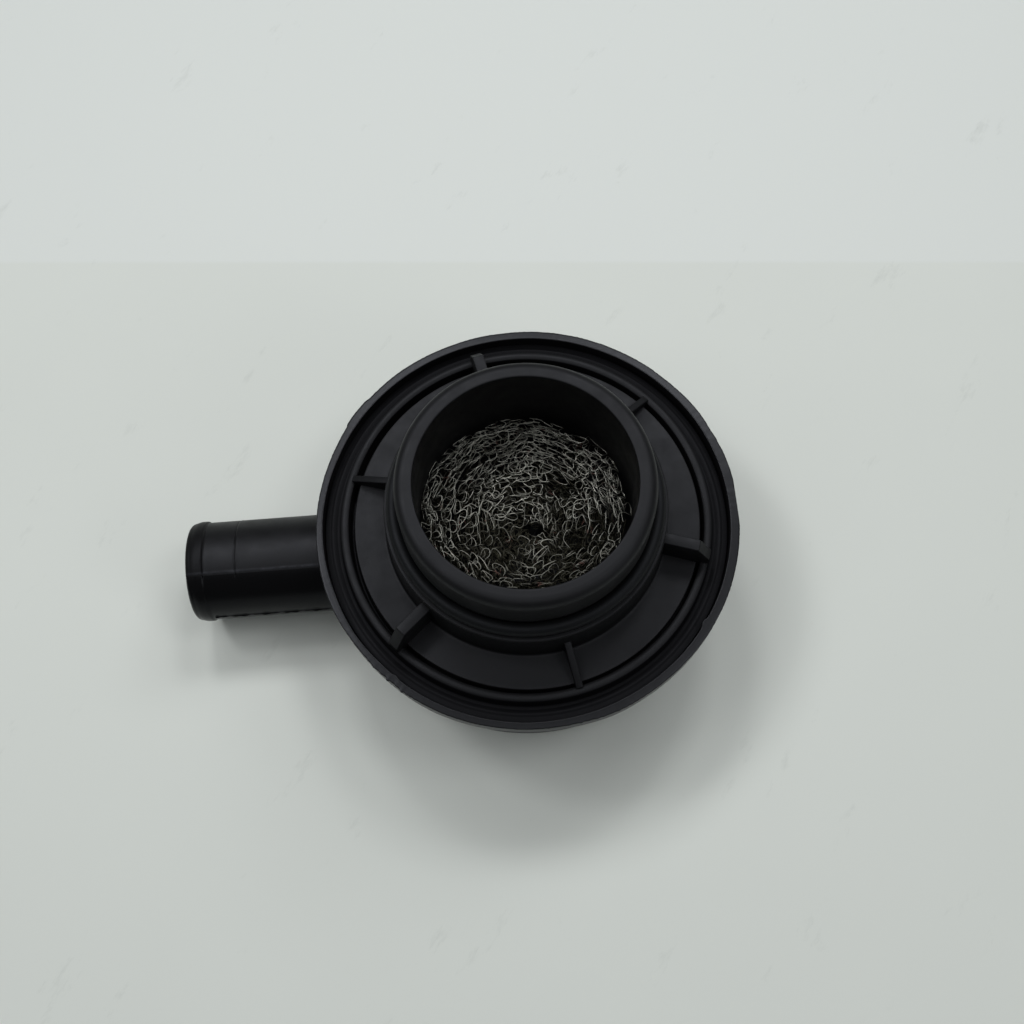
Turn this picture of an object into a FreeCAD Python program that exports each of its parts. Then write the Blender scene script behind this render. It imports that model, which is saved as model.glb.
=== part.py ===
import FreeCAD, Part
import math
import os

os.makedirs("parts", exist_ok=True)

# Crankcase breather: a bowl-shaped moulded cap with a hose spigot in its side, closed by a
# moulded base plate whose neck plugs into the engine and holds a roll of knitted wire.
# Millimetres. The breather stands on its crown with the neck up. The origin is the centre of
# the crown's outside face, +Z runs up through the neck and the spigot points along -X.

V = FreeCAD.Vector
CENTRE = V(0, 0, 0)
Z_AXIS = V(0, 0, 1)

# Cap: a lip with a sloped underside round the joint, a thin drafted wall and a flat crown
LIP_RADIUS = 52.1
LIP_WIDTH = 2.1
LIP_BAND_HEIGHT = 8.0
LIP_FLANK_WIDTH = 1.7
LIP_FLANK_HEIGHT = 4.2
JOINT_DEPTH = 5.4
BODY_INSET = 4.5
BODY_DRAFT = 1.0
CAP_WALL = 2.6
CROWN_ROUND = 6.0

# Hose spigot: a plain tube with a low bead behind its rounded nose, between crown and lip
SPIGOT_ABOVE_CROWN = 2.6
SPIGOT_BELOW_BAND = 2.0
SPIGOT_RADIUS = 12.7
SPIGOT_WALL = 2.3
SPIGOT_REACH = 86.7
SPIGOT_ROOT_ROUND = 1.5
HOSE_BEAD_SETBACK = 5.4
HOSE_BEAD_LENGTH = 2.4
HOSE_BEAD_RISE = 0.35
NOSE_ROUND = 1.3
STOP_LINE_SETBACK = 12.1
STOP_LINE_RISE = 0.15
STOP_LINE_WIDTH = 0.4

# Base plate, from the lip inwards: gap, joint flange, bead, narrow channel and floor
JOINT_GAP = 1.3
FLANGE_WIDTH = 3.3
FLANGE_DROP = 3.2
BEAD_WIDTH = 1.8
BEAD_RISE = 0.8
BEAD_CREST_WIDTH = 0.1
CHANNEL_WIDTH = 1.4
CHANNEL_DEPTH = 3.6
FLOOR_WALL = 2.5
FLANGE_EDGE_WIDTH = 0.6
FLANGE_EDGE_RISE = 0.4

# Neck, and the collar round its foot
NECK_HEIGHT = 25.7
NECK_RADIUS = 30.2
NECK_WALL = 4.45
NECK_CORNER_ROUND = 2.3
SKIRT_WALL = 2.2
COLLAR_WIDTH = 3.7
COLLAR_HEIGHT = 10.5
COLLAR_SPREAD = 0.4
COLLAR_FILLET = 1.3
COLLAR_WALL = 2.2

# Seal ring in a shallow seat that rises from the collar's top
SEAL_SECTION = 3.3
SEAL_SEAT_DEPTH = 0.4
SEAL_SEAT_PLAY = 0.5

# Six ribs from the collar to the bead, high and low by turns
RIB_PAIRS = 3
RIB_PHASE = -17.9
HIGH_RIB_WIDTH = 2.8
HIGH_RIB_HEIGHT = 7.9
HIGH_RIB_SLOPE_LENGTH = 3.2
HIGH_RIB_TOE_HEIGHT = 3.0
LOW_RIB_WIDTH = 1.7
LOW_RIB_HEIGHT = 5.5
LOW_RIB_TOE_HEIGHT = 0.9

# Roll of knitted wire in the neck's bore: one strip wound from a core that lies off centre,
# with a narrow way between the turns and a row of loops along the strip's upper edge
ROLL_DEPTH = 19.7
ROLL_LENGTH = 26.0
ROLL_CLEARANCE = 0.3
STRIP_TURNS = 7
STRIP_GAP = 0.8
STRIP_END_WALL = 2.2
CORE_RADIUS = 1.6
CORE_SHIFT = 5.0
CORE_SHIFT_ANGLE = -65.6
LOOP_NOTCH_DEPTH = 1.3
LOOP_NOTCH_WIDTH = 1.8
LOOP_RAYS = 17
LOOP_RAYS_DOUBLE_FROM = 13.0

# Retaining grid that clips into the bore under the roll
GRID_HEIGHT = 3.4
GRID_RING_WIDTH = 2.4
GRID_BAR_WIDTH = 2.0
GRID_BAR_HEIGHT = 2.4
GRID_BARS = 3
GRID_HUB_RADIUS = 11.0
CLIP_RISE = 0.5
CLIP_WIDTH = 1.6

# Heights above the crown
spigot_z = SPIGOT_ABOVE_CROWN + SPIGOT_RADIUS
band_z = spigot_z + SPIGOT_RADIUS + SPIGOT_BELOW_BAND
lip_z = band_z + LIP_BAND_HEIGHT
joint_z = lip_z - JOINT_DEPTH
floor_z = lip_z
flange_z = floor_z - FLANGE_DROP
collar_z = floor_z + COLLAR_HEIGHT
seat_z = collar_z + SEAL_SECTION + SEAL_SEAT_PLAY
mouth_z = floor_z + NECK_HEIGHT
roll_top_z = mouth_z - ROLL_DEPTH
roll_bottom_z = roll_top_z - ROLL_LENGTH
skirt_z = roll_bottom_z - GRID_HEIGHT
clip_z = skirt_z + GRID_HEIGHT / 2

# Radii from the lip inwards
lip_inner = LIP_RADIUS - LIP_WIDTH
body_radius = LIP_RADIUS - BODY_INSET
foot_radius = body_radius - band_z * math.tan(math.radians(BODY_DRAFT))
flange_radius = lip_inner - JOINT_GAP
bead_outer = flange_radius - FLANGE_WIDTH
bead_inner = bead_outer - BEAD_WIDTH
floor_radius = bead_inner - CHANNEL_WIDTH

# Radii from the neck's wall inwards and outwards
bore_radius = NECK_RADIUS - NECK_WALL
roll_radius = bore_radius - ROLL_CLEARANCE
skirt_radius = bore_radius + SKIRT_WALL
seal_seat_radius = NECK_RADIUS - SEAL_SEAT_DEPTH
collar_radius = NECK_RADIUS + COLLAR_WIDTH
collar_foot = collar_radius + COLLAR_SPREAD


def section(*corners):
    """Face in the XZ plane through (radius, height) corners. A corner with a third number is
    rounded to that radius: its arc starts and ends at round / tan(half the corner's angle)."""
    points = [V(c[0], 0, c[1]) for c in corners]
    ways = []
    for i, corner in enumerate(corners):
        here = points[i]
        if len(corner) == 2:
            ways.append([here])
            continue
        back = (points[i - 1] - here).normalize()
        ahead = (points[(i + 1) % len(points)] - here).normalize()
        half = back.getAngle(ahead) / 2
        reach = corner[2] / math.tan(half)
        inward = (back + ahead).normalize()
        middle = here + inward * (corner[2] / math.sin(half) - corner[2])
        ways.append([here + back * reach, middle, here + ahead * reach])
    edges = []
    for i, way in enumerate(ways):
        if len(way) == 3:
            edges.append(Part.Arc(*way).toShape())
        start, end = way[-1], ways[(i + 1) % len(ways)][0]
        edges.append(Part.makeLine(start, end))
    return Part.Face(Part.Wire(edges))


def turned(*corners):
    """Solid of revolution of a section about the Z axis."""
    return section(*corners).revolve(CENTRE, Z_AXIS, 360)


def laid_along_spigot(shape):
    """Turns a shape built up the Z axis so that it runs along -X at the spigot's height."""
    shape.rotate(CENTRE, V(0, 1, 0), -90)
    shape.translate(V(0, 0, spigot_z))
    return shape


def spigot_outside():
    """Outside of the spigot from within the cap's wall to the nose, with bead and stop line."""
    root = math.sqrt(foot_radius ** 2 - SPIGOT_RADIUS ** 2) - CAP_WALL
    bead = SPIGOT_RADIUS + HOSE_BEAD_RISE
    bead_start = SPIGOT_REACH - HOSE_BEAD_SETBACK
    stop = SPIGOT_REACH - STOP_LINE_SETBACK
    return laid_along_spigot(turned(
        (0, root),
        (SPIGOT_RADIUS, root),
        (SPIGOT_RADIUS, stop - STOP_LINE_WIDTH),
        (SPIGOT_RADIUS + STOP_LINE_RISE, stop),
        (SPIGOT_RADIUS, stop),
        (SPIGOT_RADIUS, bead_start),
        (bead, bead_start + HOSE_BEAD_RISE),
        (bead, bead_start + HOSE_BEAD_LENGTH),
        (SPIGOT_RADIUS, SPIGOT_REACH, NOSE_ROUND),
        (0, SPIGOT_REACH)))


def cap_housing():
    """Cap moulding: lip band, drafted bowl and spigot with a rounded root, then the hollows."""
    bowl = turned(
        (0, 0),
        (foot_radius, 0, CROWN_ROUND),
        (body_radius, band_z),
        (LIP_RADIUS - LIP_FLANK_WIDTH, band_z),
        (LIP_RADIUS, band_z + LIP_FLANK_HEIGHT),
        (LIP_RADIUS, lip_z),
        (0, lip_z))
    outside = bowl.fuse(spigot_outside())
    roots = []
    for edge in outside.Edges:
        reaches = [math.hypot(v.Y, v.Z - spigot_z) for v in edge.Vertexes]
        on_spigot = all(math.isclose(reach, SPIGOT_RADIUS, abs_tol=0.01) for reach in reaches)
        if on_spigot and edge.BoundBox.XMin > -LIP_RADIUS:
            roots.append(edge)
    outside = outside.makeFillet(SPIGOT_ROOT_ROUND, roots)
    hollow = turned(
        (0, CAP_WALL),
        (foot_radius - CAP_WALL, CAP_WALL, CROWN_ROUND - CAP_WALL),
        (body_radius - CAP_WALL, joint_z),
        (lip_inner, joint_z),
        (lip_inner, lip_z),
        (0, lip_z))
    bore_start = foot_radius - SPIGOT_RADIUS
    bore = Part.makeCylinder(SPIGOT_RADIUS - SPIGOT_WALL, SPIGOT_REACH - bore_start, V(0, 0, bore_start))
    return outside.cut([hollow, laid_along_spigot(bore)])


def rib(width, toe_radius, toe_height, top_radius, height, angle):
    """Upright web from the collar over the floor, channel and bead, turned to its angle."""
    root = collar_radius - COLLAR_WALL / 2
    web = section(
        (root, floor_z - FLOOR_WALL / 2),
        (toe_radius, floor_z - CHANNEL_DEPTH - FLOOR_WALL / 4),
        (toe_radius, floor_z + toe_height),
        (top_radius, floor_z + height),
        (root, floor_z + height)).extrude(V(0, width, 0))
    web.translate(V(0, -width / 2, 0))
    web.rotate(CENTRE, Z_AXIS, angle)
    return web


def base_plate():
    """Base plate moulding: one turned section from the neck's mouth out to the flange and back
    under the floor to the skirt, with the ribs standing on it."""
    under_z = floor_z - FLOOR_WALL
    leg_radius = floor_radius - FLOOR_WALL
    bead_round = (BEAD_WIDTH - BEAD_CREST_WIDTH) / 2
    plate = turned(
        (bore_radius, mouth_z),
        (NECK_RADIUS, mouth_z, NECK_CORNER_ROUND),
        (NECK_RADIUS, seat_z),
        (seal_seat_radius, seat_z),
        (seal_seat_radius, collar_z),
        (collar_radius, collar_z),
        (collar_foot, floor_z, COLLAR_FILLET),
        (floor_radius, floor_z),
        (floor_radius, floor_z - CHANNEL_DEPTH),
        (bead_inner, floor_z - CHANNEL_DEPTH),
        (bead_inner, floor_z + BEAD_RISE, bead_round),
        (bead_outer, floor_z + BEAD_RISE, bead_round),
        (bead_outer, flange_z),
        (flange_radius - FLANGE_EDGE_WIDTH, flange_z),
        (flange_radius, flange_z + FLANGE_EDGE_RISE),
        (flange_radius, joint_z),
        (leg_radius, joint_z),
        (leg_radius, under_z),
        (collar_foot - COLLAR_WALL, under_z),
        (collar_radius - COLLAR_WALL, collar_z - COLLAR_WALL),
        (skirt_radius, collar_z - COLLAR_WALL),
        (skirt_radius, skirt_z),
        (bore_radius, skirt_z),
        (bore_radius, clip_z - CLIP_WIDTH / 2),
        (bore_radius + CLIP_RISE, clip_z),
        (bore_radius, clip_z + CLIP_WIDTH / 2))
    crest_radius = bead_inner + BEAD_WIDTH / 2
    webs = []
    for i in range(RIB_PAIRS):
        angle = RIB_PHASE + i * 360 / RIB_PAIRS
        webs.append(rib(HIGH_RIB_WIDTH, bead_outer, HIGH_RIB_TOE_HEIGHT,
                        bead_outer - HIGH_RIB_SLOPE_LENGTH, HIGH_RIB_HEIGHT, angle))
        webs.append(rib(LOW_RIB_WIDTH, crest_radius, LOW_RIB_TOE_HEIGHT,
                        collar_radius, LOW_RIB_HEIGHT, angle + 180 / RIB_PAIRS))
    return plate.fuse(webs).removeSplitter()


def neck_seal_ring():
    """Seal ring of round section, in its seat on top of the collar."""
    radius = SEAL_SECTION / 2
    return Part.makeTorus(seal_seat_radius + radius, radius, V(0, 0, collar_z + radius))


def half_turn(start, end, side):
    """Half ring of the way between two turns, over (side 1) or under (side -1) the line of
    centres, from one crossing of that line to the next."""
    centre = V((start + end) / 2, 0, 0)
    radius = abs(end - start) / 2
    inner, outer = radius - STRIP_GAP / 2, radius + STRIP_GAP / 2
    face = section((inner, roll_bottom_z), (outer, roll_bottom_z), (outer, roll_top_z), (inner, roll_top_z))
    face.translate(centre)
    return face.revolve(centre, Z_AXIS, 180 * side)


def loop_notch(start, angle):
    """Notch between two loops, a wedge that runs out from a radius round the core."""
    half = LOOP_NOTCH_WIDTH / 2
    corners = [
        V(start, -half, roll_top_z),
        V(start, half, roll_top_z),
        V(start, 0, roll_top_z - LOOP_NOTCH_DEPTH)]
    notch = Part.Face(Part.makePolygon(corners + corners[:1])).extrude(V(2 * roll_radius, 0, 0))
    notch.rotate(CENTRE, Z_AXIS, angle)
    return notch


def wire_mesh_roll():
    """Wound strip of knitted wire: a spiral way cut through the roll in half turns whose
    centres drift from the core to the axis, and notches between the loops on the upper edge."""
    near = roll_radius - CORE_SHIFT - STRIP_END_WALL - CORE_RADIUS
    far = roll_radius + CORE_SHIFT - STRIP_END_WALL - CORE_RADIUS
    ways = [Part.makeCylinder(CORE_RADIUS, ROLL_LENGTH, V(0, 0, roll_bottom_z))]
    for k in range(STRIP_TURNS):
        left = -CORE_RADIUS - far * (k + 0.5) / STRIP_TURNS
        ways.append(half_turn(CORE_RADIUS + near * k / STRIP_TURNS, left, 1))
        ways.append(half_turn(CORE_RADIUS + near * (k + 1) / STRIP_TURNS, left, -1))
    notches = []
    for i in range(LOOP_RAYS):
        angle = i * 360 / LOOP_RAYS
        notches.append(loop_notch(0, angle))
        notches.append(loop_notch(LOOP_RAYS_DOUBLE_FROM, angle + 180 / LOOP_RAYS))
    roll = Part.makeCylinder(roll_radius, ROLL_LENGTH, V(-CORE_SHIFT, 0, roll_bottom_z))
    roll = roll.cut(ways).cut(notches)
    roll.translate(V(CORE_SHIFT, 0, 0))
    roll.rotate(CENTRE, Z_AXIS, CORE_SHIFT_ANGLE)
    return roll


def mesh_retaining_grid():
    """Grid under the roll: outer ring with a clip ridge, hub ring and cross bars."""
    inner = bore_radius - GRID_RING_WIDTH
    grid = turned(
        (inner, skirt_z),
        (bore_radius, skirt_z),
        (bore_radius, clip_z - CLIP_WIDTH / 2),
        (bore_radius + CLIP_RISE, clip_z),
        (bore_radius, clip_z + CLIP_WIDTH / 2),
        (bore_radius, roll_bottom_z),
        (inner, roll_bottom_z))
    bar_z = roll_bottom_z - GRID_BAR_HEIGHT
    hub_inner = GRID_HUB_RADIUS - GRID_BAR_WIDTH
    parts = [turned(
        (hub_inner, bar_z),
        (GRID_HUB_RADIUS, bar_z),
        (GRID_HUB_RADIUS, roll_bottom_z),
        (hub_inner, roll_bottom_z))]
    length = 2 * bore_radius - GRID_RING_WIDTH
    for i in range(GRID_BARS):
        bar = Part.makeBox(length, GRID_BAR_WIDTH, GRID_BAR_HEIGHT,
                           V(-length / 2, -GRID_BAR_WIDTH / 2, bar_z))
        bar.rotate(CENTRE, Z_AXIS, i * 180 / GRID_BARS)
        parts.append(bar)
    return grid.fuse(parts).removeSplitter()


NODES = {
    "cap_housing": cap_housing,
    "base_plate": base_plate,
    "neck_seal_ring": neck_seal_ring,
    "wire_mesh_roll": wire_mesh_roll,
    "mesh_retaining_grid": mesh_retaining_grid,
}

for name, make in NODES.items():
    shape = make()
    shape.exportStep(f"parts/{name}.step")
    print(name, len(shape.Solids), shape.isValid(), round(shape.Volume), shape.BoundBox)
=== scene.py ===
import math

import bpy
import numpy as np
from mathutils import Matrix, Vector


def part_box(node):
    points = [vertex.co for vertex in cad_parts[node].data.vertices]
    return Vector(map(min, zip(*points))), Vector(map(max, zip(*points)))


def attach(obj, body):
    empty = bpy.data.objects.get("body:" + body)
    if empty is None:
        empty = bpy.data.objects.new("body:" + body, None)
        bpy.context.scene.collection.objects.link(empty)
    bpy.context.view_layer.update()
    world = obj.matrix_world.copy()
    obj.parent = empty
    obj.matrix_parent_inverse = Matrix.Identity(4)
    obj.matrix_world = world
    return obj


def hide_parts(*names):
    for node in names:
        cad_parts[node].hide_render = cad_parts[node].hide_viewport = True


# Crankcase breather, standing on its crown with the neck up. Sizes are millimetres until a mesh
# is made, z is measured from the crown, azimuths from +X, and the hose spigot points along -X.
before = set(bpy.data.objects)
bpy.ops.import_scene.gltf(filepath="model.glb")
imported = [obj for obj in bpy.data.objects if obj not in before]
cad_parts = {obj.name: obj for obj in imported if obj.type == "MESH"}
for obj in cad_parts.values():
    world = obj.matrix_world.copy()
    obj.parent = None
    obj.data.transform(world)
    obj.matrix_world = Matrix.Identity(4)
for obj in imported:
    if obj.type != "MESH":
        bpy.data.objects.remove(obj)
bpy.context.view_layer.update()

# Cap: bowl and hose spigot
# One moulding of black glass-filled nylon. The lip's top edge was left with torn flash where cap
# and base plate were joined, so its outer line wanders. The spigot carries a fine parting line,
# a low hose bead and a rounded nose.
LIP_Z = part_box("cap_housing")[1].z * 1000
LIP_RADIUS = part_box("cap_housing")[1].x * 1000
LIP_INNER = 50.0
LIP_FLANK_WIDTH = 1.7
LIP_FLANK_HEIGHT = 4.2
LIP_SLOPE = 0.17
SMEAR_DEPTH = 1.2  # how far down the lip's outside the torn edge reaches
WANDER_RISE = 2.0  # the height over the band in which the lip's outside starts to wander
BAND_Z = 30.0
BODY_RADIUS = 47.6
FOOT_RADIUS = 47.08
CROWN_ROUND = 6.0
CAP_WALL = 2.6
JOINT_Z = 32.6
INNERMOST = 0.6  # radius of the last ring before a fan closes the crown
SPIGOT_Z = 15.3
SPIGOT_RADIUS = 12.7
SPIGOT_BORE = 10.4
SPIGOT_END = -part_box("cap_housing")[0].x * 1000
YAW = 4.23  # the spigot's turn from the photograph's left, in degrees
FAR = 1000.0  # a limit beyond everything on the object


def surface(name, points, material, wrap_rows=False, caps=()):
    """Mesh object from a grid of points (rows, columns, xyz). Neighbours in the grid are joined by
    four-sided faces, the last column is joined to the first, and so is the last row if rows wrap.
    Each cap (row, point) closes a row with a fan to that point. Faces are turned so that the
    signed volume, the sum of a . (b x c) / 6 over the triangles, is positive."""
    rows, columns = points.shape[:2]
    index = np.arange(rows * columns).reshape(rows, columns)
    if wrap_rows:
        index = np.concatenate([index, index[:1]])
    index = np.concatenate([index, index[:, :1]], axis=1)
    quads = np.stack([index[:-1, :-1], index[1:, :-1], index[1:, 1:], index[:-1, 1:]], -1)
    quads = quads.reshape(-1, 4)
    vertices = points.reshape(-1, 3)
    fans = []
    for row, point in caps:
        ring = index[row]
        tip = np.full(len(ring) - 1, len(vertices))
        pair = (ring[1:], ring[:-1]) if row == 0 else (ring[:-1], ring[1:])
        fans.append(np.stack([tip, pair[1], pair[0]], -1))
        vertices = np.concatenate([vertices, [point]])
    fans = np.concatenate(fans) if fans else np.zeros((0, 3), int)
    triangles = np.concatenate([quads[:, :3], quads[:, [0, 2, 3]], fans])
    a, b, c = (vertices[triangles[:, i]] for i in range(3))
    if np.einsum("ij,ij->", a, np.cross(b, c)) < 0:
        quads, fans = quads[:, ::-1], fans[:, ::-1]
    corners = np.concatenate([quads.ravel(), fans.ravel()])
    sizes = np.concatenate([np.full(len(quads), 4), np.full(len(fans), 3)])
    mesh = bpy.data.meshes.new(name)
    mesh.vertices.add(len(vertices))
    mesh.vertices.foreach_set("co", (vertices / 1000).astype(np.float32).ravel())
    mesh.loops.add(len(corners))
    mesh.loops.foreach_set("vertex_index", corners.astype(np.int32))
    mesh.polygons.add(len(sizes))
    mesh.polygons.foreach_set("loop_start", (np.cumsum(sizes) - sizes).astype(np.int32))
    mesh.update(calc_edges=True)
    mesh.validate()
    mesh.shade_smooth()
    mesh.materials.append(material)
    made = bpy.data.objects.new(name, mesh)
    bpy.context.scene.collection.objects.link(made)
    return made


def rounded(corners, closed=False, steps=5, edge=0.3):
    """Profile (radius, z) through corners, each (radius, z) or (radius, z, round). A rounded
    corner becomes an arc of that radius, tangent to both sides, and each straight side longer
    than 2.5 edges gets a point one edge length from both of its ends, to keep it flat."""
    points = [np.array(c[:2], float) for c in corners]
    count = len(points)
    ways = []
    for i, corner in enumerate(corners):
        if len(corner) == 2 or (not closed and i in (0, count - 1)):
            ways.append([points[i]])
            continue
        back = points[i - 1] - points[i]
        ahead = points[(i + 1) % count] - points[i]
        back, ahead = back / np.hypot(*back), ahead / np.hypot(*ahead)
        half = math.acos(np.clip(back @ ahead, -1, 1)) / 2
        inward = (back + ahead) / np.hypot(*(back + ahead))
        centre = points[i] + inward * corner[2] / math.sin(half)
        first = points[i] + back * corner[2] / math.tan(half) - centre
        last = points[i] + ahead * corner[2] / math.tan(half) - centre
        turn = np.arctan2(first[0] * last[1] - first[1] * last[0], first @ last)
        angles = np.linspace(0, turn, steps)[:, None]
        side = np.array([-first[1], first[0]])
        ways.append(list(centre + first * np.cos(angles) + side * np.sin(angles)))
    out = []
    for i, way in enumerate(ways):
        out.extend(way)
        if not closed and i == count - 1:
            break
        start, end = way[-1], ways[(i + 1) % count][0]
        length = np.hypot(*(end - start))
        if length > 2.5 * edge:
            inset = (end - start) * edge / length
            out.extend([start + inset, end - inset])
    return np.array(out)


def srgb(code):
    """Linear colour of an sRGB hex code: c / 12.92 up to 0.04045, else ((c + 0.055) / 1.055) ^ 2.4."""
    values = [int(code[i:i + 2], 16) / 255 for i in (1, 3, 5)]
    linear = [v / 12.92 if v <= 0.04045 else ((v + 0.055) / 1.055) ** 2.4 for v in values]
    return (*linear, 1.0)


def add(tree, kind, settings=None, links=None):
    """Node of a kind in a tree, with its settings (by socket or property) and incoming links."""
    made = tree.nodes.new(kind)
    for key, value in (settings or {}).items():
        if isinstance(key, int) or key in made.inputs:
            made.inputs[key].default_value = value
        else:
            setattr(made, key, value)
    for key, socket in (links or {}).items():
        tree.links.new(socket, made.inputs[key])
    return made


def new_material(name):
    """Empty node material with its node tree and output node."""
    material = bpy.data.materials.new(name)
    material.use_nodes = True
    material.node_tree.nodes.clear()
    return material, material.node_tree, material.node_tree.nodes.new("ShaderNodeOutputMaterial")


NYLON_BLACK = "#0f0f10"
NYLON_HAZE = "#121213"
NYLON_PATCH = 5.0
NYLON_GRAIN = 0.35


def moulded_nylon(name, rough_low, rough_high):
    """Black glass-filled nylon as moulded. The fibres near the skin leave a dull, slightly uneven
    sheen: patches change the tone and roughness, and a grain, drawn a little coarse so that it
    shows, breaks up the highlights."""
    material, tree, output = new_material(name)
    place = add(tree, "ShaderNodeTexCoord").outputs["Object"]
    patches = add(tree, "ShaderNodeTexNoise",
                  {"Scale": 1000 / NYLON_PATCH, "Detail": 4.0, "Roughness": 0.6}, {"Vector": place})
    grain = add(tree, "ShaderNodeTexNoise",
                {"Scale": 1000 / NYLON_GRAIN, "Detail": 3.0, "Roughness": 0.6}, {"Vector": place})
    rough = add(tree, "ShaderNodeMapRange",
                {"From Min": 0.35, "From Max": 0.7, "To Min": rough_low, "To Max": rough_high},
                {"Value": patches.outputs["Fac"]})
    tint = add(tree, "ShaderNodeMix", {"data_type": "RGBA", 6: srgb(NYLON_BLACK), 7: srgb(NYLON_HAZE)},
               {0: patches.outputs["Fac"]})
    bump = add(tree, "ShaderNodeBump", {"Strength": 0.35, "Distance": 0.00004},
               {"Height": grain.outputs["Fac"]})
    shader = add(tree, "ShaderNodeBsdfPrincipled",
                 {"IOR": 1.52, "Specular IOR Level": 0.235, "Specular Tint": (0.88, 0.91, 1.0, 1.0)},
                 {"Base Color": tint.outputs[2], "Roughness": rough.outputs["Result"],
                  "Normal": bump.outputs["Normal"]})
    tree.links.new(shader.outputs[0], output.inputs["Surface"])
    return material, tree, shader, place


def between(tree, value, low, high, soft, within=None):
    """Mask that is one where a value in metres lies between low and high in millimetres, with
    soft edges: a rising ramp times a falling one, times the mask it lies within, if any."""
    rise = add(tree, "ShaderNodeMapRange",
               {"From Min": (low - soft) / 1000, "From Max": (low + soft) / 1000}, {"Value": value})
    fall = add(tree, "ShaderNodeMapRange",
               {"From Min": (high - soft) / 1000, "From Max": (high + soft) / 1000,
                "To Min": 1.0, "To Max": 0.0}, {"Value": value})
    mask = add(tree, "ShaderNodeMath", {"operation": "MULTIPLY"}, {0: rise.outputs[0], 1: fall.outputs[0]})
    if within:
        mask = add(tree, "ShaderNodeMath", {"operation": "MULTIPLY"}, {0: within, 1: mask.outputs[0]})
    return mask.outputs[0]


def from_neck_axis(tree, place):
    """Distance of a place from the neck's axis: the length of its x and y alone."""
    level = add(tree, "ShaderNodeVectorMath", {"operation": "MULTIPLY", 1: (1, 1, 0)}, {0: place})
    return add(tree, "ShaderNodeVectorMath", {"operation": "LENGTH"}, {0: level.outputs[0]}).outputs["Value"]


def override(tree, shader, name, value, mask):
    """Gives a shader's input another value where a mask is one."""
    socket = shader.inputs[name]
    kind = {"data_type": "RGBA", 7: value} if name == "Base Color" else {3: value}
    was, out = (6, 2) if name == "Base Color" else (2, 0)
    mix = add(tree, "ShaderNodeMix", kind, {0: mask})
    if socket.links:
        tree.links.new(socket.links[0].from_socket, mix.inputs[was])
    else:
        mix.inputs[was].default_value = socket.default_value
    tree.links.new(mix.outputs[out], socket)


# The cap's nylon was smeared smooth along the lip. On the spigot the mould's two halves left different
# finishes, the lower one polished. Painted shade darkens that lower half, with a weaker reflection and a
# darker colour, and weakens the reflection on the nose and hose bead, and a pale painted highlight, broken up
# by noise, runs just above the parting line.
PARTING_ANGLE = 23.2  # round the spigot, from straight up towards -Y
HIGHLIGHT_LOW = 0.40
HIGHLIGHT_HIGH = 0.95
HIGHLIGHT_BREAK_SIZE = 6.0
NOSE_SHADE_LENGTH = 4.4
SMEARED_FROM = 49.2
cap_nylon, tree, shader, place = moulded_nylon("moulded_nylon_cap", 0.40, 0.52)
parting = math.radians(PARTING_ANGLE)
axes = add(tree, "ShaderNodeSeparateXYZ", {}, {0: place})
below_band = between(tree, axes.outputs["Z"], -FAR, BAND_Z - 0.5, 0.1)
on_spigot = between(tree, axes.outputs["X"], -FAR, -BODY_RADIUS, 0.1, below_band)
centred = add(tree, "ShaderNodeVectorMath", {"operation": "SUBTRACT", 1: (0, 0, SPIGOT_Z / 1000)}, {0: place})
across_parting = add(tree, "ShaderNodeVectorMath",
                     {"operation": "DOT_PRODUCT", 1: (0, math.cos(parting), math.sin(parting))},
                     {0: centred.outputs[0]}).outputs["Value"]
lower_half = between(tree, across_parting, -FAR, 0.0, 0.03, on_spigot)
# Painted shade on the spigot's lower half: a weaker reflection and a darker colour. Its lower roughness is
# the polish.
override(tree, shader, "Roughness", 0.25, lower_half)
override(tree, shader, "Specular IOR Level", 0.11, lower_half)
override(tree, shader, "Base Color", srgb("#0d0d0e"), lower_half)
# Painted highlight: a pale line just above the parting line, broken up by noise.
highlight_breaks = add(tree, "ShaderNodeTexNoise", {"Scale": 1000 / HIGHLIGHT_BREAK_SIZE, "Detail": 5.0, "Roughness": 0.75},
            {"Vector": place})
broken_up = add(tree, "ShaderNodeMapRange", {"From Min": 0.46, "From Max": 0.62, "To Min": 0.3},
              {"Value": highlight_breaks.outputs["Fac"]})
on_line = between(tree, across_parting, HIGHLIGHT_LOW, HIGHLIGHT_HIGH, 0.2, on_spigot)
painted_highlight = add(tree, "ShaderNodeMath", {"operation": "MULTIPLY"}, {0: on_line, 1: broken_up.outputs[0]})
override(tree, shader, "Base Color", srgb("#34353a"), painted_highlight.outputs[0])
# Painted shade on the nose and hose bead: their reflection is turned down.
nose_shade = between(tree, axes.outputs["X"], -FAR, NOSE_SHADE_LENGTH - SPIGOT_END, 0.2, below_band)
override(tree, shader, "Specular IOR Level", 0.13, nose_shade)
above_joint = between(tree, axes.outputs["Z"], JOINT_Z + 1, FAR, 0.3)
smeared = between(tree, from_neck_axis(tree, place), SMEARED_FROM, FAR, 0.2, above_joint)
override(tree, shader, "Roughness", 0.34, smeared)
override(tree, shader, "Specular IOR Level", 0.265, smeared)

AROUND = 900
azimuth = np.radians(np.arange(AROUND) * 360 / AROUND)
seen = (np.degrees(azimuth) + YAW + 180) % 360 - 180  # azimuth in the photograph's frame
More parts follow.
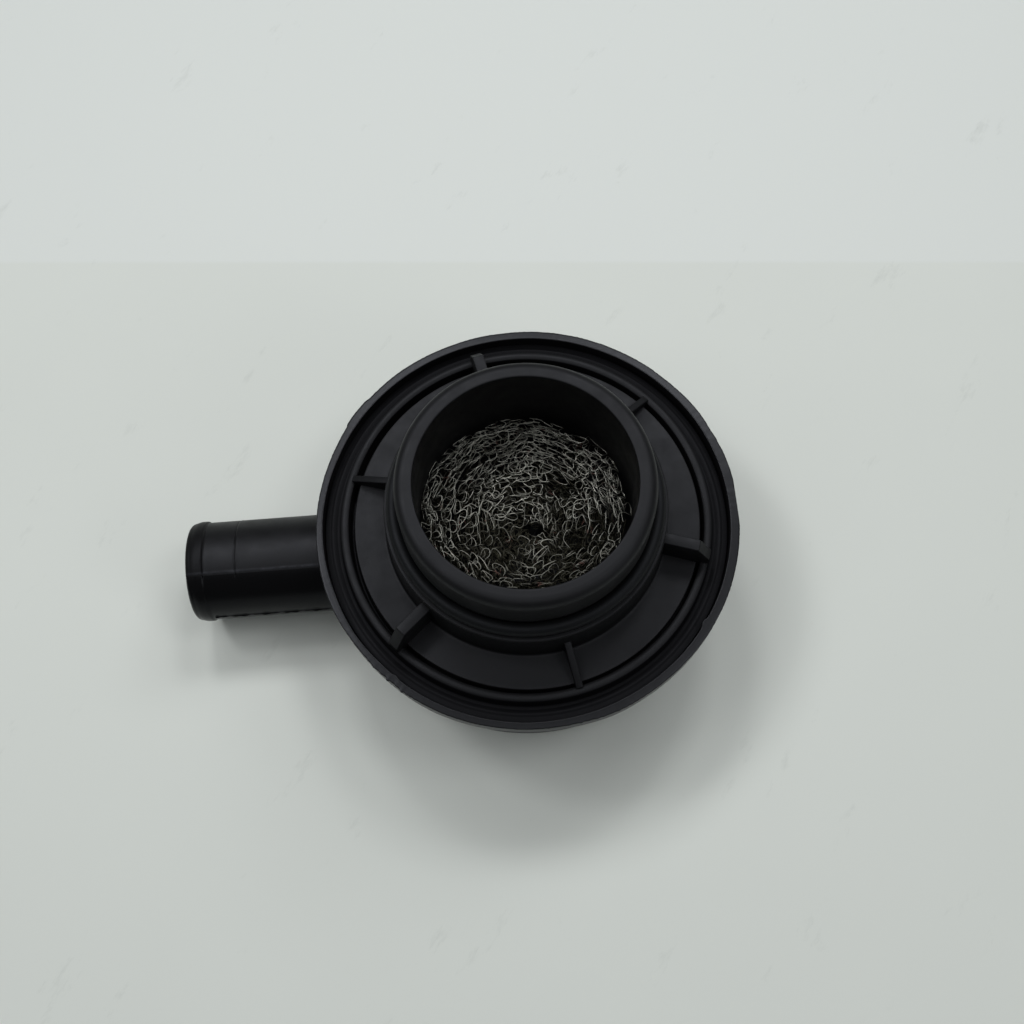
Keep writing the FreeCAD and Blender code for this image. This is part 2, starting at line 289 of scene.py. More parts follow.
# how far the lip's outer and inner edges stray outwards, by azimuth in the photograph's frame
outer_line = np.array([
    (-180, -0.40), (-156, -0.17), (-150, -0.32), (-145, -0.44), (-138, -0.56), (-134, -0.38),
    (-128, -0.46), (-124, -0.20), (-112, -0.08), (-100, -0.17), (-75, -0.20), (-71, 0.0), (-64, 0.12),
    (-60, -0.06), (-45, 0.0), (-30, 0.12), (-20, 0.22), (-10, 0.25), (0, 0.34), (12, 0.42), (20, 0.44),
    (22, 0.25), (24, 0.40), (27, 0.18), (32, 0.38), (38, 0.33), (44, 0.12), (60, 0.03), (76, -0.04),
    (86, -0.14), (98, -0.26), (118, -0.32), (126, -0.21), (140.6, -0.27), (141.6, 0.05), (150.4, 0.10),
    (151.2, -0.34), (160, -0.45), (180, -0.40)])
inner_line = np.array([
    (-180, 0.0), (-165, -0.07), (-157, -0.17), (-145, 0.05), (-133, -0.12), (-125, 0.08), (-110, 0.20),
    (-90, 0.22), (-75, 0.12), (-60, 0.0), (-40, 0.04), (-10, -0.04), (20, 0.05), (32, 0.10), (50, 0.0),
    (65, -0.16), (80, -0.22), (95, -0.35), (105, -0.42), (120, -0.35), (145, -0.25), (160, -0.28),
    (168, -0.1), (180, 0.0)])
TORN_AT = np.array([-128.0, -72.0])  # the two stretches where the flash is most ragged
TORN_SPREAD = 12.0
TONGUES_AT = np.array([-134.2, -129.2, -124.4])
TONGUE_SPREAD = 0.45
TONGUE_LENGTH = 0.5
BAND_WAVES = 25  # the smear's steps fade below the lip, to this many waves round it
chance = np.random.default_rng(11)


def ragged(count, waves, steepness):
    """Periodic noise around a circle: a sum of sines of 1 to `waves` periods with random phases
    and heights that fall as frequency ^ -steepness, scaled to a standard deviation of one."""
    periods = np.arange(1, waves + 1)
    phase = chance.uniform(0, 2 * math.pi, waves)
    height = chance.normal(size=waves) * periods ** -float(steepness)
    turn = np.linspace(0, 2 * math.pi, count, endpoint=False)[:, None]
    noise = (np.sin(turn * periods + phase) * height).sum(1)
    return noise / noise.std()


torn = np.exp(-((seen[:, None] - TORN_AT) / TORN_SPREAD) ** 2).sum(1)
lip_outer = np.interp(seen, *outer_line.T)
band_outer = np.fft.irfft(np.fft.rfft(lip_outer)[:BAND_WAVES], AROUND)
lip_flash = 0.02 * ragged(AROUND, 60, 0.5)
lip_flash += (0.03 + 0.08 * torn) * np.clip(ragged(AROUND, 300, 0.1), -1, 2.5)
lip_flash += TONGUE_LENGTH * np.exp(-((seen[:, None] - TONGUES_AT) / TONGUE_SPREAD) ** 2).sum(1)
lip_nibs = 0.55 * np.exp(-((seen + 32) / 1.2) ** 2) + 0.3 * np.exp(-((seen + 128) / 1.0) ** 2)
lip_inner = np.interp(seen, *inner_line.T) - 0.03 * ragged(AROUND, 50, 0.8) - lip_nibs
lip_wave = -0.06 * np.abs(ragged(AROUND, 30, 1.0)) + 0.006 * ragged(AROUND, 220, 0.0)

profile = rounded([
    (INNERMOST, 0), (FOOT_RADIUS, 0, CROWN_ROUND), (BODY_RADIUS, BAND_Z, 0.5),
    (LIP_RADIUS - LIP_FLANK_WIDTH, BAND_Z, 0.6), (LIP_RADIUS, BAND_Z + LIP_FLANK_HEIGHT, 1.0),
    (LIP_RADIUS, LIP_Z - SMEAR_DEPTH), (LIP_RADIUS, LIP_Z - LIP_SLOPE, 0.3), (LIP_INNER, LIP_Z, 0.25),
    (LIP_INNER, JOINT_Z, 0.1), (BODY_RADIUS - CAP_WALL, JOINT_Z, 0.3),
    (FOOT_RADIUS - CAP_WALL, CAP_WALL, CROWN_ROUND - CAP_WALL), (INNERMOST, CAP_WALL)], steps=4)
radius, height = profile[:, :1], profile[:, 1:]
near_top = np.clip((height - LIP_Z + SMEAR_DEPTH) / SMEAR_DEPTH, 0, 1)
lip_middle = (LIP_INNER + LIP_RADIUS) / 2
outside = (radius > lip_middle) * np.clip((height - BAND_Z) / WANDER_RISE, 0, 1)
inside = (radius <= lip_middle) * (radius > LIP_INNER - 0.1)
strayed = outside * (band_outer + near_top * (lip_outer - band_outer + lip_flash)) + inside * lip_inner
radius = np.minimum(radius + strayed, LIP_RADIUS / np.maximum(np.cos(azimuth), 0.5))
height = height + near_top * lip_wave
bowl_points = np.stack([radius * np.cos(azimuth), radius * np.sin(azimuth), height], -1)
cap = surface("cap_moulding", bowl_points, cap_nylon, caps=[(0, (0, 0, 0)), (-1, (0, 0, CAP_WALL))])

# The spigot is a tube along its own angle and reach, with every rise and groove added to its
# radius: the hose bead, the groove behind it, the stop line, the nose, the ridge and the flash.
ROUND_SPIGOT = 288
ROOT_ROUND = 1.5
ROOT_SINK = 1.3  # how far the solid starts inside the bowl's wall
TIP_ROUND = 1.3
TIP_FALL = 1.1
STOP_LINE = SPIGOT_END - 12.6
BEAD_AT = SPIGOT_END - 4.2
BEAD_RISE = 0.36
STOP_RIDGE = 0.05
STOP_DEPTH = 0.22
GROOVE_DEPTH = 0.16
GROOVE_WIDTH = 0.17
NOSE_FROM = SPIGOT_END - 3.0
NOSE_LENGTH = 1.7
NOSE_FALL = 0.35
RIDGE_ANGLE = PARTING_ANGLE - 3.0
RIDGE_RISE = 0.06
FLASH_ANGLE = 88.0
FLASH_RISE = 0.42
FINE_FROM = 0.65  # the share of the run from which its rings are close, for the stop and the bead
roll_angle = np.radians(np.arange(ROUND_SPIGOT) * 360 / ROUND_SPIGOT)  # from up towards -Y
degrees = np.degrees(roll_angle)
across = SPIGOT_RADIUS * np.sin(roll_angle)
level = SPIGOT_Z + SPIGOT_RADIUS * np.cos(roll_angle)
bowl_radius = BODY_RADIUS - (BAND_Z - level) * (BODY_RADIUS - FOOT_RADIUS) / BAND_Z
start = np.sqrt(bowl_radius ** 2 - across ** 2)
arc = np.radians(np.linspace(0, 90, 6))[:, None]
root_reach = start + ROOT_ROUND * (1 - np.cos(arc))
root_radius = np.broadcast_to(SPIGOT_RADIUS + ROOT_ROUND * (1 - np.sin(arc)), root_reach.shape)
sink_reach = start[None] - ROOT_SINK
sink_radius = np.full((1, ROUND_SPIGOT), SPIGOT_RADIUS + ROOT_ROUND)
run = np.concatenate([np.linspace(0, FINE_FROM, 56, endpoint=False), np.linspace(FINE_FROM, 1, 76)])[:, None]
run_reach = start + ROOT_ROUND + run * (SPIGOT_END - TIP_ROUND - start - ROOT_ROUND)
bead = BEAD_RISE / (1 + np.exp(-(run_reach - BEAD_AT + 0.1) / 0.12))
upper_half = np.clip((60 - np.abs((degrees + 30 + 180) % 360 - 180)) / 8, 0, 1)
stop = STOP_RIDGE * np.exp(-((run_reach - STOP_LINE + 0.45) / 0.25) ** 2) * upper_half
stop = stop - STOP_DEPTH * np.exp(-((run_reach - STOP_LINE) / GROOVE_WIDTH) ** 2) * upper_half
stop = stop - GROOVE_DEPTH * np.exp(-((run_reach - BEAD_AT + 0.35) / GROOVE_WIDTH) ** 2) * upper_half
nose = -NOSE_FALL * np.clip((run_reach - NOSE_FROM) / NOSE_LENGTH, 0, 1) ** 2
along = run[:, 0]
broken = 0.6 + 0.4 * np.sin(along * 55 + 2 * np.sin(along * 23)) + 0.5 * (np.sin(along * 137) > 0.8)
ridge = RIDGE_RISE * np.exp(-((degrees - RIDGE_ANGLE) / 0.8) ** 2) * broken[:, None]
left_on = np.clip(0.9 + 0.3 * np.sin(along * 37) + 0.2 * np.sin(along * 91 + 1), 0.5, 1.3) * (along < 0.90)
flash = FLASH_RISE * np.exp(-((degrees - FLASH_ANGLE) / 1.3) ** 2) * left_on[:, None]
run_radius = SPIGOT_RADIUS + bead + stop + nose + ridge + flash
tip_arc = np.radians(np.linspace(15, 90, 6))[:, None]
last = run_radius[-1]
tip_reach = SPIGOT_END - TIP_ROUND + TIP_ROUND * np.sin(tip_arc) + 0 * last
tip_radius = last - TIP_FALL * (1 - np.cos(tip_arc))
spigot_reach = np.concatenate([sink_reach, root_reach, run_reach, tip_reach])
spigot_radius = np.concatenate([sink_radius, root_radius, run_radius, tip_radius])


def along_spigot(reach, radius, angle):
    """Points at a reach from the breather's axis, a radius and an angle round the spigot's."""
    reach, radius, angle = np.broadcast_arrays(reach, radius, angle)
    return np.stack([-reach, -radius * np.sin(angle), SPIGOT_Z + radius * np.cos(angle)], -1)


BORE_START = 33.0
BORE_PAST = 2.0  # how far the tool that cuts the bore stands out of the spigot's end
spigot = surface("spigot_solid", along_spigot(spigot_reach, spigot_radius, roll_angle), cap_nylon,
                 caps=[(0, (ROOT_SINK - start.mean(), 0, SPIGOT_Z)), (-1, (-SPIGOT_END, 0, SPIGOT_Z))])
bore_profile = np.array([
    (BORE_START, SPIGOT_BORE), (SPIGOT_END - 0.6, SPIGOT_BORE), (SPIGOT_END - 0.2, SPIGOT_BORE + 0.15),
    (SPIGOT_END + 0.1, SPIGOT_BORE + 0.6), (SPIGOT_END + BORE_PAST, SPIGOT_BORE + 0.6)])
bore = surface("spigot_bore", along_spigot(bore_profile[:, :1], bore_profile[:, 1:], roll_angle), cap_nylon,
               caps=[(0, (-BORE_START, 0, SPIGOT_Z)), (-1, (-SPIGOT_END - BORE_PAST, 0, SPIGOT_Z))])
for operation, tool in (("UNION", spigot), ("DIFFERENCE", bore)):
    cut = cap.modifiers.new(operation, "BOOLEAN")
    cut.operation, cut.object, cut.solver = operation, tool, "EXACT"
joined = bpy.data.meshes.new_from_object(cap.evaluated_get(bpy.context.evaluated_depsgraph_get()))
cap.modifiers.clear()
cap.data = joined
joined.shade_smooth()
joined.set_sharp_from_angle(angle=math.radians(40))
for tool in (spigot, bore):
    bpy.data.objects.remove(tool)
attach(cap, "root")
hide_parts("cap_housing")

# Base plate: floor, channel, bead, joint flange, collar and neck
# One moulding of the same nylon. It closes the cap from above and its neck plugs into the engine.
# The edges are as moulded, with small radii, and the trough between bead and lip has a soft ripple. Painted
# shade darkens the trough: its reflection is turned well down, over a colour of its own.
MOUTH_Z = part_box("base_plate")[1].z * 1000
SKIRT_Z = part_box("base_plate")[0].z * 1000
NECK_RADIUS = 30.2
BORE_RADIUS = 25.75
SKIRT_RADIUS = 27.95
SEAT_RADIUS = NECK_RADIUS - 0.4
COLLAR_Z = LIP_Z + 10.5
COLLAR_RADIUS = 33.9
COLLAR_FOOT = 34.3
UNDER_RADIUS = 39.7
SEAT_TOP = COLLAR_Z + 3.8
UNDER_COLLAR = COLLAR_Z - 2.2
UNDER_FLOOR = LIP_Z - 2.5
CHANNEL_Z = LIP_Z - 4.4
CHANNEL_INNER = 42.5
CHANNEL_OUTER = 43.5
BEAD_RADIUS = 44.55
BEAD_FOOT = 45.6
BEAD_SIDE = LIP_Z + 0.1
FLANGE_Z = LIP_Z - 3.2
FLANGE_RADIUS = 49.85
RIPPLE = [(45.95, 0.1, 0.35), (46.7, -0.15, 0.6), (47.9, 0.3, 0.5), (48.5, 0.05, 0.4)]  # over the flange
CHANNEL_SHIFT = 0.25, -0.18  # the floor's edge lies a little off centre
SHIFT_FROM = 40.5
SHIFT_TO = 42.9
TROUGH_FROM = 45.5
plate_nylon, tree, shader, place = moulded_nylon("moulded_nylon_plate", 0.44, 0.56)
in_trough = between(tree, from_neck_axis(tree, place), TROUGH_FROM, FAR, 0.2)
# Painted shade in the trough: its reflection is turned well down.
override(tree, shader, "Specular IOR Level", 0.09, in_trough)
override(tree, shader, "Base Color", srgb("#121214"), in_trough)
plate_profile = rounded([
    (BORE_RADIUS, MOUTH_Z, 0.35), (NECK_RADIUS, MOUTH_Z, 2.3), (NECK_RADIUS, SEAT_TOP, 0.15),
    (SEAT_RADIUS, SEAT_TOP, 0.1), (SEAT_RADIUS, COLLAR_Z, 0.1), (COLLAR_RADIUS, COLLAR_Z, 0.35),
    (COLLAR_FOOT, LIP_Z, 0.6), (CHANNEL_INNER, LIP_Z - 0.3, 0.3), (CHANNEL_INNER, CHANNEL_Z, 0.45),
    (CHANNEL_OUTER, CHANNEL_Z, 0.55), (CHANNEL_OUTER + 0.05, BEAD_SIDE, 0.3),
    (BEAD_RADIUS, LIP_Z + 0.8, 1.5), (BEAD_FOOT, BEAD_SIDE, 0.3),
    *((out, FLANGE_Z + up, bend) for out, up, bend in RIPPLE),
    (FLANGE_RADIUS, FLANGE_Z - 0.1, 0.2), (FLANGE_RADIUS, JOINT_Z, 0.2), (UNDER_RADIUS, JOINT_Z, 0.2),
    (UNDER_RADIUS, UNDER_FLOOR, 0.3), (COLLAR_FOOT - 2.2, UNDER_FLOOR, 0.5),
    (COLLAR_RADIUS - 2.2, UNDER_COLLAR, 0.5), (SKIRT_RADIUS, UNDER_COLLAR, 0.5),
    (SKIRT_RADIUS, SKIRT_Z, 0.3), (BORE_RADIUS, SKIRT_Z, 0.3)], closed=True)
PLATE_AROUND = 540
plate_azimuth = np.radians(np.arange(PLATE_AROUND) * 360 / PLATE_AROUND)
radius, height = plate_profile[:, :1], plate_profile[:, 1:]
shifted = np.clip((radius - SHIFT_FROM) / 1.2, 0, 1) * np.clip((SHIFT_TO - radius) / 0.3, 0, 1)
shifted = shifted * (height > LIP_Z - 3)
plate_points = np.stack([radius * np.cos(plate_azimuth) + CHANNEL_SHIFT[0] * shifted,
                         radius * np.sin(plate_azimuth) + CHANNEL_SHIFT[1] * shifted,
                         height + 0 * plate_azimuth], -1)
plate = surface("plate_moulding", plate_points, plate_nylon, wrap_rows=True)
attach(plate, "root")
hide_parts("base_plate")

# Ribs: six webs from the collar out to the bead
# They are part of the base plate's moulding. Three are high, with a flat top and a sloped toe,
# and three are low and thin and slope all the way. An outline is (radius, height over the floor).
RIB_PHASE = -17.9
HIGH_RIB = [(32.8, -1.0), (32.8, 7.9), (42.3, 7.9), (45.5, 3.0), (45.5, -4.2), (40.9, -1.0)]
LOW_RIB = [(32.8, -1.0), (32.8, 5.9), (44.3, 0.9), (44.3, -4.2), (40.9, -1.0)]
HIGH_RIB_WIDTH = 2.8
LOW_RIB_WIDTH = 1.7
RIB_EDGE = 0.22
for kind, outline, width, turn in (("high", HIGH_RIB, HIGH_RIB_WIDTH, 0),
                                   ("low", LOW_RIB, LOW_RIB_WIDTH, 60)):
    shape = np.array(outline)
    count = len(shape)
    rib_angle = np.radians(RIB_PHASE + turn + np.array([0, 120, 240]))
    out = np.stack([np.cos(rib_angle), np.sin(rib_angle)], -1)[:, None, None]
    side = np.stack([-np.sin(rib_angle), np.cos(rib_angle)], -1)[:, None, None]
    halves = np.array([-width / 2, width / 2])[:, None, None]
    flat = shape[:, :1] * out + halves * side
    height = np.broadcast_to(shape[:, 1:] + LIP_Z, (*flat.shape[:3], 1))
    vertices = np.concatenate([flat, height], -1).reshape(-1, 3) / 1000
    corner = np.arange(count)
    after = (corner + 1) % count
    walls = np.stack([corner, corner + count, after + count, after], -1)
    faces = []
    for first in range(0, len(vertices), 2 * count):
        faces.append((corner + first).tolist())
        faces.append((corner[::-1] + count + first).tolist())
        faces.extend((walls + first).tolist())
    mesh = bpy.data.meshes.new(f"plate_{kind}_ribs")
    mesh.from_pydata(vertices.tolist(), [], faces)
    mesh.materials.append(plate_nylon)
    ribs = bpy.data.objects.new(f"plate_{kind}_ribs", mesh)
    bpy.context.scene.collection.objects.link(ribs)
    edge = ribs.modifiers.new("moulded edge", "BEVEL")
    edge.width, edge.segments, edge.limit_method = RIB_EDGE / 1000, 3, "NONE"
    mesh.shade_smooth()
    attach(ribs, "root")

# Seal ring
# A moulded ring of round section, stretched into its seat on the collar. It seals the neck in
# the engine's opening.
SEAL_RADIUS = 31.45
SEAL_SECTION = 1.65
SECTION_POINTS = 40
RING_AROUND = 480
# Nitrile rubber from a polished mould: smooth and black, with a faint bloom in patches of 3 mm
# that dulls the highlight a little.
SEAL_BLACK = "#0e0e0f"
SEAL_BLOOM = "#131415"
BLOOM_PATCH = 3.0
rubber, tree, output = new_material("moulded_nitrile_rubber")
place = add(tree, "ShaderNodeTexCoord").outputs["Object"]
bloom = add(tree, "ShaderNodeTexNoise", {"Scale": 1000 / BLOOM_PATCH, "Detail": 3.0}, {"Vector": place})
tint = add(tree, "ShaderNodeMix", {"data_type": "RGBA", 6: srgb(SEAL_BLACK), 7: srgb(SEAL_BLOOM)},
           {0: bloom.outputs["Fac"]})
rough = add(tree, "ShaderNodeMapRange", {"To Min": 0.42, "To Max": 0.62}, {"Value": bloom.outputs["Fac"]})
shader = add(tree, "ShaderNodeBsdfPrincipled",
             {"IOR": 1.5, "Specular IOR Level": 0.21, "Specular Tint": (0.85, 0.9, 1.0, 1.0)},
             {"Base Color": tint.outputs[2], "Roughness": rough.outputs["Result"]})
tree.links.new(shader.outputs[0], output.inputs["Surface"])
section = np.radians(np.arange(SECTION_POINTS) * 360 / SECTION_POINTS)[:, None]
ring_azimuth = np.radians(np.arange(RING_AROUND) * 360 / RING_AROUND)
radius = SEAL_RADIUS + SEAL_SECTION * np.cos(section) + 0 * ring_azimuth
height = COLLAR_Z + SEAL_SECTION + SEAL_SECTION * np.sin(section) + 0 * ring_azimuth
ring_points = np.stack([radius * np.cos(ring_azimuth), radius * np.sin(ring_azimuth), height], -1)
ring = surface("seal_ring", ring_points, rubber, wrap_rows=True)
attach(ring, "root")
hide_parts("neck_seal_ring")

# Wire roll
# Knitted steel wire, folded to a strip of two plies and wound up in the neck. Every course of
# stitches is one wire. Winding presses the strip's folded edge down, so in the mouth the stitches
# lie over their neighbours at changing slants, steeper further out, and hide the strip's turns.
ROLL_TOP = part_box("wire_mesh_roll")[1].z * 1000
ROLL_RADIUS = 24.9
CORE_RADIUS = 2.8
CORE_HOLE = 1.9
CORE_SHIFT = np.array([2.07, -4.55])
STRIP_PITCH = 2.8
STITCH_WIDTH = 4.9
STITCH_HEIGHT = 2.9
STITCH_POINTS = 28
LOOP_SWAY = 0.165  # how far a loop's sides lean over it, as a share of the stitch's width
LOOP_BEND = 0.25
SLANT = 0.25
SLANT_OUTWARDS = 0.5  # how much more the outer turns' stitches slant, in radians
COURSES = 10
FIRST_DEPTH = 1.6
DEEPEST = 5.4
OUTER_RISE = 1.2  # the outer turns stand this much higher
PLY_APART = 1.4
WIRE_RADIUS = 0.085
WALL_PLAY = 0.3
TOP_PLAY = 0.1
TOP_SOFTNESS = 0.6
# Drawn steel wire, brown in a few spots of 4 mm. Painted shade darkens it lower down in the roll, from the
# bright steel colour where it stands up to a dark one, and leans so that the far side stays lighter.
WIRE_BRIGHT = "#c4c4bb"
WIRE_SHADE_DARK = "#403f36"
WIRE_STAIN = "#735650"
STAIN_SIZE = 4.0
SHADE_BELOW = 2.9
UNSHADED_ABOVE = 0.9
FAR_SIDE_LIGHTER = 0.1
wire_steel, tree, output = new_material("drawn_steel_wire")
place = add(tree, "ShaderNodeTexCoord").outputs["Object"]
stain = add(tree, "ShaderNodeTexNoise", {"Scale": 1000 / STAIN_SIZE, "Detail": 2.0}, {"Vector": place})
rust = add(tree, "ShaderNodeMapRange", {"From Min": 0.66, "From Max": 0.72}, {"Value": stain.outputs["Fac"]})
axes = add(tree, "ShaderNodeSeparateXYZ", {}, {0: place})
# Painted shade: the colour darkens lower in the roll and towards the near side.
leaning = add(tree, "ShaderNodeMath", {"operation": "MULTIPLY_ADD", 1: FAR_SIDE_LIGHTER},
              {0: axes.outputs["Y"], 2: axes.outputs["Z"]})
unshaded = add(tree, "ShaderNodeMapRange",
            {"From Min": (ROLL_TOP - SHADE_BELOW) / 1000, "From Max": (ROLL_TOP - UNSHADED_ABOVE) / 1000},
            {"Value": leaning.outputs[0]})
steel = add(tree, "ShaderNodeMix", {"data_type": "RGBA", 6: srgb(WIRE_SHADE_DARK), 7: srgb(WIRE_BRIGHT)},
            {0: unshaded.outputs[0]})
tint = add(tree, "ShaderNodeMix", {"data_type": "RGBA", 7: srgb(WIRE_STAIN)},
           {0: rust.outputs["Result"], 6: steel.outputs[2]})
shader = add(tree, "ShaderNodeBsdfPrincipled", {"Metallic": 1.0, "Roughness": 0.4},
             {"Base Color": tint.outputs[2]})
tree.links.new(shader.outputs[0], output.inputs["Surface"])

turns = np.linspace(0, (ROLL_RADIUS - CORE_RADIUS) / STRIP_PITCH, 6000)


def winding(turn):
    """Centre line of the wound strip after a number of turns: a circle whose radius grows by the
    strip's pitch each turn and whose centre drifts from the core to the neck's axis."""
    grown = CORE_RADIUS + STRIP_PITCH * turn
    away = CORE_SHIFT * (1 - grown / ROLL_RADIUS)[:, None]
    angle = 2 * math.pi * turn
    outward = np.stack([np.cos(angle), np.sin(angle)], -1)
    return away + outward * grown[:, None], outward


centre_line, _ = winding(turns)
run_length = np.concatenate([[0], np.cumsum(np.hypot(*np.diff(centre_line, axis=0).T))])


def crumple(points, shortest, longest, size, seed, waves=60):
    """Smooth random shift of points: a sum of sine waves with random directions, of wavelengths
    between the shortest and longest, whose standard deviation is the size."""
    dice = np.random.default_rng(seed)
    way = dice.normal(size=(3, waves))
    way *= 2 * math.pi / np.linalg.norm(way, axis=0) / dice.uniform(shortest, longest, waves)
    push = dice.normal(size=(waves, 3)) * size * math.sqrt(2 / waves)
    return points + np.sin(points @ way + dice.uniform(0, 2 * math.pi, waves)) @ push


def wander(length, shortest, longest, size, dice, waves=40):
    """Smooth random value along a length: a sum of sine waves of random phase with wavelengths
    between the shortest and longest, whose standard deviation is the size."""
    pace = 2 * math.pi / dice.uniform(shortest, longest, waves)
    swing = np.sin(length[:, None] * pace + dice.uniform(0, 2 * math.pi, waves))
    return swing.sum(1) * size * math.sqrt(2 / waves)


def tube(points, radius, sides=4):
    """Rings of a tube round a path: each ring lies in the plane across the path's tangent."""
    tangent = np.gradient(points, axis=0)
    tangent /= np.linalg.norm(tangent, axis=1)[:, None]
    first = np.cross(tangent, [0.36, 0.48, 0.8])
    first /= np.linalg.norm(first, axis=1)[:, None]
    second = np.cross(tangent, first)
    around = np.arange(sides) * 2 * math.pi / sides
    ring = first[:, None] * np.cos(around)[:, None] + second[:, None] * np.sin(around)[:, None]
    return points[:, None] + radius * ring


for course in range(COURSES):
    dice = np.random.default_rng(100 + course)
    stitches = run_length[-1] / STITCH_WIDTH
    knitted = np.linspace(0, 2 * math.pi * stitches, int(stitches * STITCH_POINTS))
    along = knitted * STITCH_WIDTH / (2 * math.pi)
    phase = knitted + wander(along, 12.0, 40.0, 1.2, dice) + dice.uniform(0, 2 * math.pi)
    looped = along + LOOP_SWAY * STITCH_WIDTH * np.sin(2 * phase)
    middle, outward = winding(np.interp(looped, run_length, turns))
    off_axis = np.hypot(*middle.T)
    slant = wander(along, 7.0, 30.0, 0.45, dice) + SLANT
    slant += SLANT_OUTWARDS * np.clip((off_axis - 4) / 14, 0, 1)
    rise = STITCH_HEIGHT / 2 * np.cos(phase) * (1 + wander(along, 4.0, 12.0, 0.18, dice))
    sideways = rise * np.cos(slant) + wander(along, 7.0, 25.0, 0.5, dice) + PLY_APART * (course % 2 - 0.5)
    depth = FIRST_DEPTH + (course // 2) * 2 * DEEPEST / COURSES
    depth = depth + rise * np.sin(slant) + LOOP_BEND * np.cos(2 * phase)
    depth -= OUTER_RISE * np.clip((off_axis - 14) / 8, 0, 1)
    path = np.column_stack([middle + outward * sideways[:, None], ROLL_TOP - depth])
    path = crumple(path, 6.0, 14.0, 0.3, 5 + course)
    path = crumple(path, 8.0, 20.0, 0.45, 6)
    off_core = path[:, :2] - CORE_SHIFT
    reach = np.hypot(*off_core.T)
    path[:, :2] = CORE_SHIFT + off_core * (np.maximum(reach, CORE_HOLE) / reach)[:, None]
    reach = np.hypot(path[:, 0], path[:, 1])
    path[:, :2] *= (np.minimum(reach, BORE_RADIUS - WALL_PLAY) / reach)[:, None]
    under = ROLL_TOP - TOP_PLAY - path[:, 2]
    path[:, 2] = ROLL_TOP - TOP_PLAY - (under + np.sqrt(under ** 2 + TOP_SOFTNESS)) / 2
    rings = tube(path, WIRE_RADIUS)
    wire = surface(f"knitted_wire_{course + 1:02d}", rings, wire_steel, caps=[(0, path[0]), (-1, path[-1])])
    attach(wire, "root")
    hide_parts("wire_mesh_roll")

# Retaining grid
# A nylon ring with cross bars, clipped into the bore under the wire roll. It can be seen only
# through the cap's inside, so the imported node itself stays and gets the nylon.
grid_nylon = moulded_nylon("moulded_nylon_grid", 0.44, 0.56)[0]
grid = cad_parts["mesh_retaining_grid"]
grid.data.materials.clear()
grid.data.materials.append(grid_nylon)

# Floor
# A pale painted board. The paint is matt and slightly cloudy, paler beyond a straight line behind the
# breather, with faint grey scuffs, about 16 mm long and thin, that all run one way.
FLOOR_SIZE = 3.0  # half the board's side in metres
STEP_PLACE = 0.0965  # distance of the paler part's edge from the axis, in metres
STEP_SOFT = 0.0006
STEP_ACROSS = (0.0827, 0.9966, 0)  # direction across that edge
CLOUD_SIZE = 60.0
SCUFF_SIZE = 16.0
SCUFF_TURN = 0.95
SCUFF_STRETCH = (2.2, 0.8, 1.0)
floor_paint, tree, output = new_material("pale_painted_board")
place = add(tree, "ShaderNodeTexCoord").outputs["Object"]
cloud = add(tree, "ShaderNodeTexNoise", {"Scale": 1000 / CLOUD_SIZE, "Detail": 3.0}, {"Vector": place})
tint = add(tree, "ShaderNodeMix", {"data_type": "RGBA", 6: srgb("#dde2dd"), 7: srgb("#e1e6e1")},
           {0: cloud.outputs["Fac"]})
across_step = add(tree, "ShaderNodeVectorMath", {"operation": "DOT_PRODUCT", 1: STEP_ACROSS}, {0: place})
beyond = add(tree, "ShaderNodeMapRange",
             {"From Min": STEP_PLACE - STEP_SOFT, "From Max": STEP_PLACE + STEP_SOFT},
             {"Value": across_step.outputs["Value"]})
paint = add(tree, "ShaderNodeMix", {"data_type": "RGBA", 7: srgb("#e3e8e5")},
            {0: beyond.outputs[0], 6: tint.outputs[2]})
turned = add(tree, "ShaderNodeMapping",
             {"vector_type": "TEXTURE", "Rotation": (0, 0, SCUFF_TURN), "Scale": SCUFF_STRETCH},
             {"Vector": place})
scuffs = add(tree, "ShaderNodeTexNoise", {"Scale": 1000 / SCUFF_SIZE, "Detail": 7.0, "Roughness": 0.72},
             {"Vector": turned.outputs[0]})
soiled = add(tree, "ShaderNodeMapRange", {"From Min": 0.61, "From Max": 0.78, "To Max": 0.5},
             {"Value": scuffs.outputs["Fac"]})
worn = add(tree, "ShaderNodeMix", {"data_type": "RGBA", 7: srgb("#b9bfba")},
           {0: soiled.outputs[0], 6: paint.outputs[2]})
shader = add(tree, "ShaderNodeBsdfPrincipled", {"Roughness": 0.6}, {"Base Color": worn.outputs[2]})
tree.links.new(shader.outputs[0], output.inputs["Surface"])
floor_mesh = bpy.data.meshes.new("floor")
floor_mesh.from_pydata([(-FLOOR_SIZE, -FLOOR_SIZE, 0), (FLOOR_SIZE, -FLOOR_SIZE, 0),
                        (FLOOR_SIZE, FLOOR_SIZE, 0), (-FLOOR_SIZE, FLOOR_SIZE, 0)], [], [(0, 1, 2, 3)])
floor_mesh.materials.append(floor_paint)
floor = bpy.data.objects.new("floor", floor_mesh)
bpy.context.scene.collection.objects.link(floor)

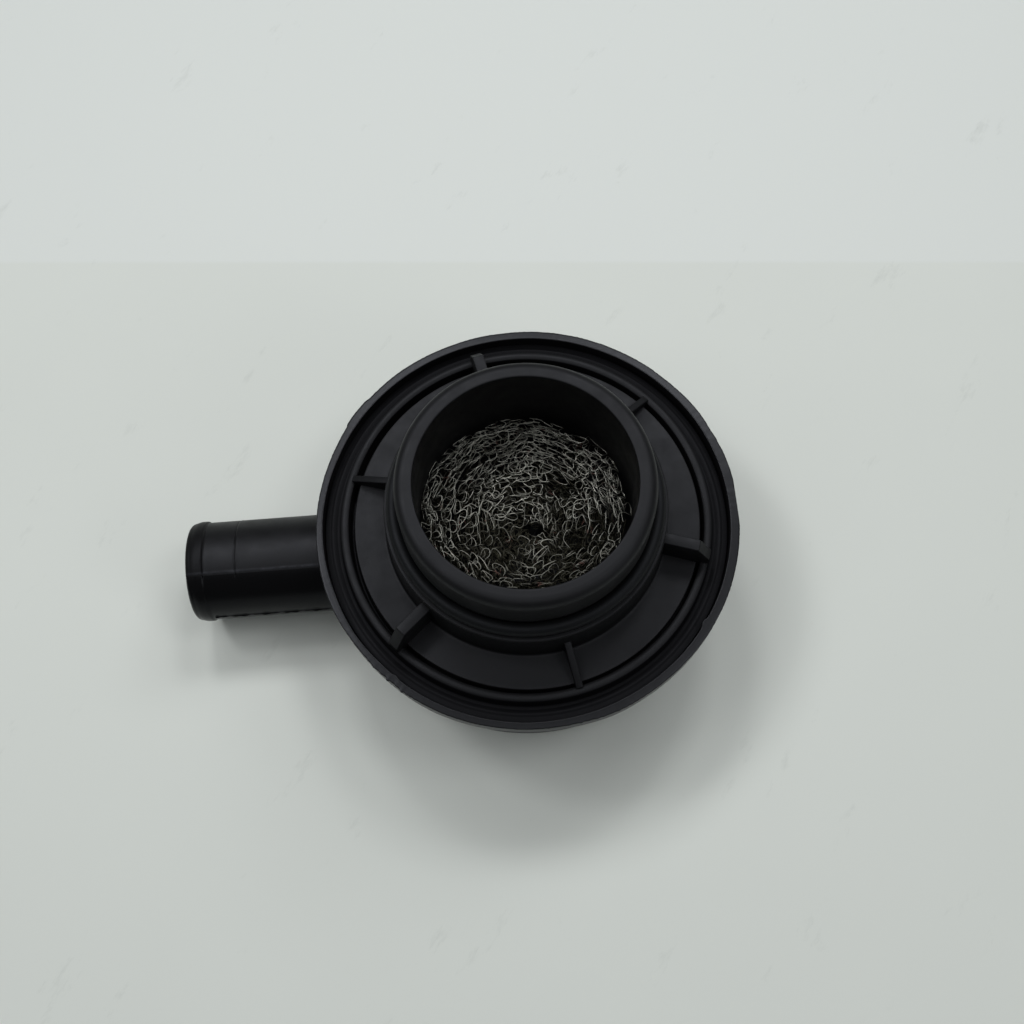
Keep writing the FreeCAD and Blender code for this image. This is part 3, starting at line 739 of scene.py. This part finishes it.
# Light
# A ring of soft square lamps, one metre off and mostly behind the breather, in a dim surround.
# Each is (azimuth in the photograph's frame, elevation, width in metres, level), and the level
# is the radiance that it alone gives a white floor.
LAMPS = [(72, 57, 0.18, 0.107), (108, 57, 0.18, 0.116), (132, 57, 0.18, 0.036), (156, 57, 0.18, 0.108),
         (180, 64, 0.25, 0.060), (0, 64, 0.25, 0.080), (300, 72, 0.35, 0.042), (240, 72, 0.40, 0.036),
         (55, 45, 0.30, 0.072), (330, 35, 0.35, 0.038), (200, 45, 0.30, 0.022)]
SURROUND = 0.096
world = bpy.data.worlds.new("dim_surround")
world.use_nodes = True
world.node_tree.nodes["Background"].inputs["Color"].default_value = srgb("#e8eef0")
world.node_tree.nodes["Background"].inputs["Strength"].default_value = SURROUND
bpy.context.scene.world = world
for seen_azimuth, elevation, width, level in LAMPS:
    turn, rise = math.radians(seen_azimuth - YAW), math.radians(elevation)
    lamp = bpy.data.lights.new("soft_lamp", "AREA")
    lamp.size = width
    lamp.energy = level * math.pi ** 2 / math.sin(rise)
    made = bpy.data.objects.new("soft_lamp", lamp)
    made.location = math.cos(rise) * math.cos(turn), math.cos(rise) * math.sin(turn), math.sin(rise)
    made.rotation_euler = math.pi / 2 - rise, 0, turn + math.pi / 2
    bpy.context.scene.collection.objects.link(made)

# Camera
# It looks down on the neck from 295 mm, as in the photograph, and its place is measured from the
# lip's top in the photograph's frame.
CAMERA_AIM = 20.353, 0.854  # tilt from straight down and roll, in degrees
CAMERA_PLACE = np.array([0.6996, -101.187, 277.054 + LIP_Z]) / 1000
PIXELS_PER_UNIT_SLOPE = 1200
IMAGE_SIZE = 1024
SENSOR = 36
turn = -math.radians(YAW)
camera = bpy.data.cameras.new("camera")
camera.sensor_width = SENSOR
camera.lens = SENSOR * PIXELS_PER_UNIT_SLOPE / IMAGE_SIZE
camera.clip_start = 0.01
view = bpy.data.objects.new("camera", camera)
view.location = (CAMERA_PLACE[0] * math.cos(turn) - CAMERA_PLACE[1] * math.sin(turn),
                 CAMERA_PLACE[0] * math.sin(turn) + CAMERA_PLACE[1] * math.cos(turn), CAMERA_PLACE[2])
view.rotation_euler = (math.radians(CAMERA_AIM[0]), math.radians(CAMERA_AIM[1]), turn)
bpy.context.scene.collection.objects.link(view)
bpy.context.scene.camera = view
bpy.context.scene.view_settings.view_transform = "Standard"
